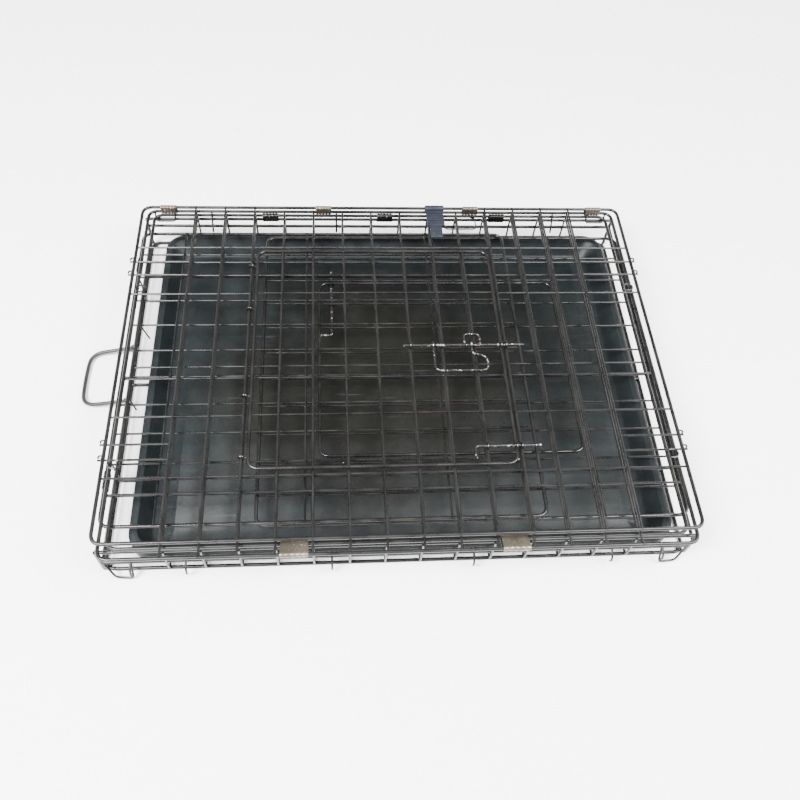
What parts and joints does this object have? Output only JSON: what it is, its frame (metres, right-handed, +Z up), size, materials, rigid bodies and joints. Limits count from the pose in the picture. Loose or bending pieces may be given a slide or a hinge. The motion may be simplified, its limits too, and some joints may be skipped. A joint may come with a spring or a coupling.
{
  "type": "folding wire dog crate",
  "caption": "Folding wire dog crate folded flat: hinged wire panels stacked on a floor grid around a lift-out plastic pan, with a bolted side door and a carry handle.",
  "frame": {"origin": "middle of the underside of the floor grid's central wire, level with the ground", "axes": "+X along the long side, +Y to the long edge where the lid is hinged, +Z up out of the stack"},
  "size_m": [0.6681, 0.4716, 0.0747],
  "materials": {
    "black_wire": "semi-gloss black electro-coat over steel wire",
    "bolt_wire": "glossy black coating, worn bright where it slides",
    "clip_metal": "tan passivated sheet steel with rolled ribs",
    "pan_plastic": "dark blue-grey moulded plastic, fine texture",
    "navy_plastic": "navy moulded plastic, satin"
  },
  "bodies": {
    "floor": {"floor_grid": "black_wire", "left_end_panel": "black_wire", "right_end_panel": "black_wire", "end_door": "black_wire", "back_hinge_clip_1": "clip_metal", "back_hinge_clip_2": "clip_metal", "back_hinge_clip_3": "clip_metal", "left_end_hinge_clip_1": "clip_metal", "left_end_hinge_clip_2": "clip_metal", "right_end_hinge_clip_1": "clip_metal", "right_end_hinge_clip_2": "clip_metal"},
    "pan": {"pan": "pan_plastic"},
    "end_bolt": {"end_door_bolt": "bolt_wire"},
    "back": {"back_panel": "black_wire", "roof_hinge_clip_1": "clip_metal", "roof_hinge_clip_2": "clip_metal"},
    "roof": {"roof_panel": "black_wire", "front_hinge_clip_1": "clip_metal", "front_hinge_clip_2": "clip_metal", "front_hinge_clip_3": "clip_metal", "front_hinge_clip_4": "clip_metal"},
    "front": {"front_panel": "black_wire"},
    "side_door": {"side_door": "black_wire"},
    "upper_rod": {"upper_bolt_rod": "bolt_wire"},
    "upper_loop": {"upper_bolt_loop": "bolt_wire"},
    "lower_rod": {"lower_bolt_rod": "bolt_wire"},
    "travel_clip": {"travel_clip": "navy_plastic"},
    "handle": {"carry_handle": "black_wire"}
  },
  "joints": [
    {"name": "pan_slide", "type": "slide", "parent": "floor", "child": "pan", "axis": [1, 0, 0], "range_m": [0, 0.55]},
    {"name": "back_hinge", "type": "hinge", "parent": "floor", "child": "back", "pos_m": [0, 0.2255, 0.0522], "axis": [-1, 0, 0], "range_deg": [0, 90]},
    {"name": "roof_hinge", "type": "hinge", "parent": "back", "child": "roof", "pos_m": [0, -0.239, 0.0588], "axis": [1, 0, 0], "range_deg": [0, 270]},
    {"name": "front_hinge", "type": "hinge", "parent": "roof", "child": "front", "pos_m": [0, 0.2255, 0.0654], "axis": [-1, 0, 0], "range_deg": [0, 90]},
    {"name": "side_door_hinge", "type": "hinge", "parent": "front", "child": "side_door", "pos_m": [-0.1647, 0, 0.0665], "axis": [0, -1, 0], "range_deg": [0, 170]},
    {"name": "upper_bolt_slide", "type": "slide", "parent": "side_door", "child": "upper_rod", "axis": [-1, 0, 0], "range_m": [0, 0.022]},
    {"name": "upper_loop_turn", "type": "hinge", "parent": "upper_rod", "child": "upper_loop", "pos_m": [0.074, 0.003, 0.0705], "axis": [-1, 0, 0], "range_deg": [0, 170]},
    {"name": "lower_bolt_slide", "type": "slide", "parent": "side_door", "child": "lower_rod", "axis": [-1, 0, 0], "range_m": [0, 0.022]},
    {"name": "travel_clip_hinge", "type": "hinge", "parent": "front", "child": "travel_clip", "pos_m": [0.063, 0.2255, 0.0654], "axis": [-1, 0, 0], "range_deg": [0, 130]},
    {"name": "end_bolt_slide", "type": "slide", "parent": "floor", "child": "end_bolt", "axis": [0, -1, 0], "range_m": [0, 0.022]},
    {"name": "handle_hinge", "type": "hinge", "parent": "floor", "child": "handle", "pos_m": [-0.303, 0.0075, 0.014], "axis": [0, 1, 0], "range_deg": [0, 88]}
  ]
}
